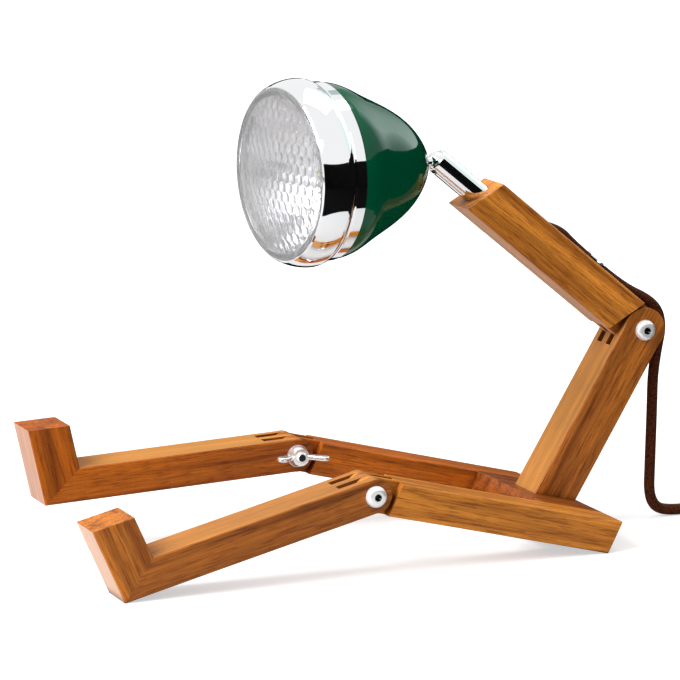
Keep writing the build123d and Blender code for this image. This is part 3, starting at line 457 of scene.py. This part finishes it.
def led():
    phosphor = Nodes("led_phosphor")
    speck = phosphor.noise(phosphor.place(), 3000, detail=2)
    phosphor.surface(base=phosphor.ramp(speck, (0.3, (0.85, 0.65, 0.10)), (0.7, (0.95, 0.80, 0.20))),
                     roughness=0.5)
    return phosphor.material


def along(pitch):
    """Unit vector of the middle plane that rises forwards at that pitch."""
    return (0, -cos(radians(pitch)), sin(radians(pitch)))


# Linear colours, adjusted against the photograph region by region.
GOLDEN, WARM, TEAK = (0.65, 0.228, 0.026), (0.47, 0.145, 0.016), (0.35, 0.103, 0.012)
# The seat block's colour, the last of these, was matched to its top where the trunk shades it, so it is
# partly painted shade.
RED, DEEP, CHESTNUT_AND_SHADE = (0.46, 0.115, 0.009), (0.36, 0.086, 0.005), (0.28, 0.070, 0.008)
# Painted light, not wood colour: the first of these paints the white floor's reflection on soles and
# undersides, the second the light falling on tops and fronts.
PAINTED_FLOOR_REFLECTION, PAINTED_LIGHT_TONE = (0.88, 0.70, 0.58), (0.64, 0.31, 0.065)
RIGHT_FOOT_PITCH = RIGHT_SHANK_PITCH + 180 - FOOT_ANGLE
LEFT_FOOT_PITCH = LEFT_SHANK_PITCH + 180 - FOOT_ANGLE
TIMBERS = {                                           # pitch of the grain, colour, and a face with painted light
    "seat_block": (0, CHESTNUT_AND_SHADE, None),
    "right_thigh": (SEAT_PITCH, GOLDEN, None),
    "left_thigh": (SEAT_PITCH, RED, None),
    "seat_dowels": (0, TEAK, None),
    "trunk": (TRUNK_LEAN + 90, WARM, (along(TRUNK_LEAN), PAINTED_LIGHT_TONE, 0.45)),
    "upper_arm": (ARM_PITCH, GOLDEN, (along(ARM_PITCH - 90), PAINTED_FLOOR_REFLECTION, 0.4)),
    "right_shank": (RIGHT_SHANK_PITCH, TEAK, (along(RIGHT_SHANK_PITCH + 90), PAINTED_LIGHT_TONE, 0.32)),
    "left_shank": (LEFT_SHANK_PITCH, RED, (along(LEFT_SHANK_PITCH + 90), PAINTED_LIGHT_TONE, 0.55)),
    "right_foot": (RIGHT_FOOT_PITCH, WARM, (along(RIGHT_FOOT_PITCH - 90), PAINTED_FLOOR_REFLECTION, 0.5)),
    "left_foot": (LEFT_FOOT_PITCH, DEEP, (along(LEFT_FOOT_PITCH - 90), PAINTED_FLOOR_REFLECTION, 0.28)),
    "right_foot_dowel": (RIGHT_SHANK_PITCH, TEAK, None),
    "left_foot_dowel": (LEFT_SHANK_PITCH, TEAK, None),
}
METAL_WORDS = ("washer", "nut", "screw", "screws")


def dress():
    """Gives every node of the frame its material."""
    looks = {}
    for number, (name, (pitch, colour, painted_face)) in enumerate(TIMBERS.items()):
        looks[name] = timber("wood_" + name, pitch, number + 1, colour, painted_face)
    bright = chrome("polished_chrome", 0.03)
    zinc = chrome("bright_zinc", 0.12, (0.95, 0.95, 0.96), 0.8)
    black = plastic("black_plastic", (0.02, 0.02, 0.02))
    lead = plastic("lead_sheath", (0.5, 0.5, 0.5))
    sink = chrome("aluminium", 0.25)
    looks |= {name: zinc for name in frame["nodes"] if name.split("_")[-1] in METAL_WORDS}
    looks |= {name + "_bolt": bolt_steel(name + "_bolt_steel", JOINTS[name]["pos_m"])
              for name in ("right_knee", "left_knee", "waist")}
    looks |= {name: bright for name in ("socket_tube", "ball_stud", "lock_nut", "head_rim", "arm_clip")}
    looks |= {name: black for name in ("arm_cord_anchor", "led_driver", "switch_base", "switch_cover",
                                       "switch_reliefs", "plug_body", "plug_relief")}
    looks |= {"head_shell": enamel(), "reflector": chrome("reflector_silver", 0.05, (0.74, 0.75, 0.78)),
              "lens_gasket": plastic("rubber", (0.02, 0.02, 0.02), 0.7),
              "heat_sink": sink, "led_board": sink, "led_emitter": led(), "arm_lead": lead, "head_lead": lead,
              "switch_rocker": plastic("rocker_plastic", (0.03, 0.03, 0.03), 0.25),
              "plug_pins": chrome("nickel", 0.12)}
    for name, material in looks.items():
        node = frame["nodes"][name]
        node.data.materials.clear()
        node.data.materials.append(material)
    cord.data.materials.clear()
    cord.data.materials.append(cloth_cord())
    lens.data.materials.append(glass())


dress()

# ---------------------------------------------------------------- studio
STUDIO = Vector((0.03, 0.02, 0))                      # below the head
HEAD_HEIGHT = 0.17
WALL_R = 0.9
SKY = 0.50                                            # the world's light on the object
FLOOR_GLOW = 0.55                                     # added for the camera to the floor near the object
FLOOR_SIZE = 8.0
FLOOR_FADE = (0.22, 0.6)                              # the floor goes over into white between these distances
CARD_SPAN = (-40, 190)                                # of the black cards, in degrees from +X towards +Y
TABLE_R, TABLE_Z = 0.2, 0.6 * MM
PALE_SPAN, PALE_R, PALE_TOP = (60, 150), 0.88, 1.2
PALE_SHIFT = 0.8                                      # brings the card's X into the ramp's range
PALE_COLOUR, PALE_GLOW = (0.85, 1.0, 0.98), 4.0
AIM = (0, 0, 0.1)                                     # the softboxes point here
SOFTBOXES = {                                         # place, size and power in watts
    "key_front": ((0.25, -1.35, 1.25), (1.2, 0.9), 46),
    "fill_side": ((1.1, -0.9, 1.0), (0.8, 0.8), 3),
    "fill_above": ((-0.3, 0.3, 1.7), (1.0, 1.0), 7),
}


def add_stage(name, points, faces, material):
    mesh = bpy.data.meshes.new(name)
    mesh.from_pydata(points, [], faces)
    mesh.materials.append(material)
    thing = bpy.data.objects.new(name, mesh)
    bpy.context.scene.collection.objects.link(thing)
    return thing


def make_floor():
    """Pale paper, which the camera sees go over into the white background."""
    size = FLOOR_SIZE
    paper = Nodes("floor_paper")
    tooth = paper.noise(paper.place(), 400)
    distance = paper.add("ShaderNodeVectorMath", operation="LENGTH")
    paper.feed(paper.add("ShaderNodeTexCoord").outputs["Object"], distance.inputs[0])
    near, gone = FLOOR_FADE
    far = paper.ramp(distance.outputs["Value"], (near, FLOOR_GLOW), (gone, 1.0))
    seen = paper.add("ShaderNodeLightPath").outputs["Is Camera Ray"]
    paper.surface(base=paper.ramp(tooth, (0.3, 0.61), (0.7, 0.63)), roughness=0.9, specular=0.1,
                  emission=(1, 1, 1), glow=paper.math("MULTIPLY", far, seen))
    corners = [(-size, -size, 0), (size, -size, 0), (size, size, 0), (-size, size, 0)]
    add_stage("floor", corners, [(0, 1, 2, 3)], paper.material)


def wall_height(angle):
    """Top of the black wall at an angle from +X towards +Y, from the rise at which the head sees it."""
    rises = ((-180, 16), (75, 16), (90, 13), (125, 8), (150, 13), (360, 13))
    for (a, low), (b, high) in zip(rises, rises[1:]):
        if a <= angle <= b:
            return HEAD_HEIGHT + WALL_R * tan(radians(low + (high - low) * (angle - a) / (b - a)))


def around(radius, angle, height):
    return STUDIO + Vector((radius * cos(radians(angle)), radius * sin(radians(angle)), height))


def strip(name, start, end, lower, upper, material):
    """A band between two edges, each given as a function of the angle in degrees."""
    angles = range(start, end + 1, 5)
    points = [lower(angle) for angle in angles] + [upper(angle) for angle in angles]
    count = len(angles)
    faces = [(k, k + 1, count + k + 1, count + k) for k in range(count - 1)]
    return add_stage(name, points, faces, material)


def make_cards():
    """Black cards and a pale one, as round a studio table, which the lamp's gloss and chrome mirror."""
    black = Nodes("black_card")
    black.surface(base=(0.004, 0.004, 0.004), roughness=1.0, specular=0.0)
    wall = strip("black_wall", *CARD_SPAN, lambda a: around(WALL_R, a, 0),
                 lambda a: around(WALL_R, a, wall_height(a)), black.material)
    table = strip("black_table", *CARD_SPAN, lambda a: around(TABLE_R, a, TABLE_Z),
                  lambda a: around(WALL_R, a, TABLE_Z), black.material)
    pale = Nodes("pale_card")
    across = pale.add("ShaderNodeSeparateXYZ")
    pale.feed(pale.add("ShaderNodeTexCoord").outputs["Object"], across.inputs[0])
    place = pale.math("ADD", across.outputs["X"], PALE_SHIFT)
    fade = pale.ramp(place, (0.15, 0.15), (0.54, 1.0), (0.82, 0.25))
    pale.surface(base=(0, 0, 0), specular=0.0, emission=PALE_COLOUR,
                 glow=pale.math("MULTIPLY", fade, PALE_GLOW))
    rear = strip("pale_rear", *PALE_SPAN, lambda a: around(PALE_R, a, wall_height(a)),
                 lambda a: around(PALE_R, a, PALE_TOP), pale.material)
    wall.visible_camera = False
    for card in (table, rear):
        card.visible_camera = card.visible_diffuse = card.visible_transmission = card.visible_shadow = False


def softbox(name, place, target, size, power):
    data = bpy.data.lights.new(name, "AREA")
    data.shape = "RECTANGLE"
    data.size, data.size_y = size
    data.energy = power
    lamp = bpy.data.objects.new(name, data)
    bpy.context.scene.collection.objects.link(lamp)
    lamp.location = place
    lamp.rotation_mode = "QUATERNION"
    lamp.rotation_quaternion = (Vector(target) - Vector(place)).to_track_quat("-Z", "Y")


def make_world():
    world = bpy.data.worlds.new("studio")
    bpy.context.scene.world = world
    world.use_nodes = True
    tree = world.node_tree
    light_path = tree.nodes.new("ShaderNodeLightPath")
    strength = light_path.outputs["Is Camera Ray"]
    for kind in ("Is Glossy Ray", "Is Transmission Ray"):
        most = tree.nodes.new("ShaderNodeMath")
        most.operation = "MAXIMUM"
        tree.links.new(strength, most.inputs[0])
        tree.links.new(light_path.outputs[kind], most.inputs[1])
        strength = most.outputs[0]
    spread = tree.nodes.new("ShaderNodeMapRange")
    spread.inputs["To Min"].default_value = SKY
    tree.links.new(strength, spread.inputs["Value"])
    background = tree.nodes["Background"]
    background.inputs["Color"].default_value = (1, 1, 1, 1)
    tree.links.new(spread.outputs["Result"], background.inputs["Strength"])


make_floor()
make_cards()
make_world()
for name, (place, size, power) in SOFTBOXES.items():
    softbox(name, place, AIM, size, power)
bpy.context.scene.view_settings.view_transform = "Standard"
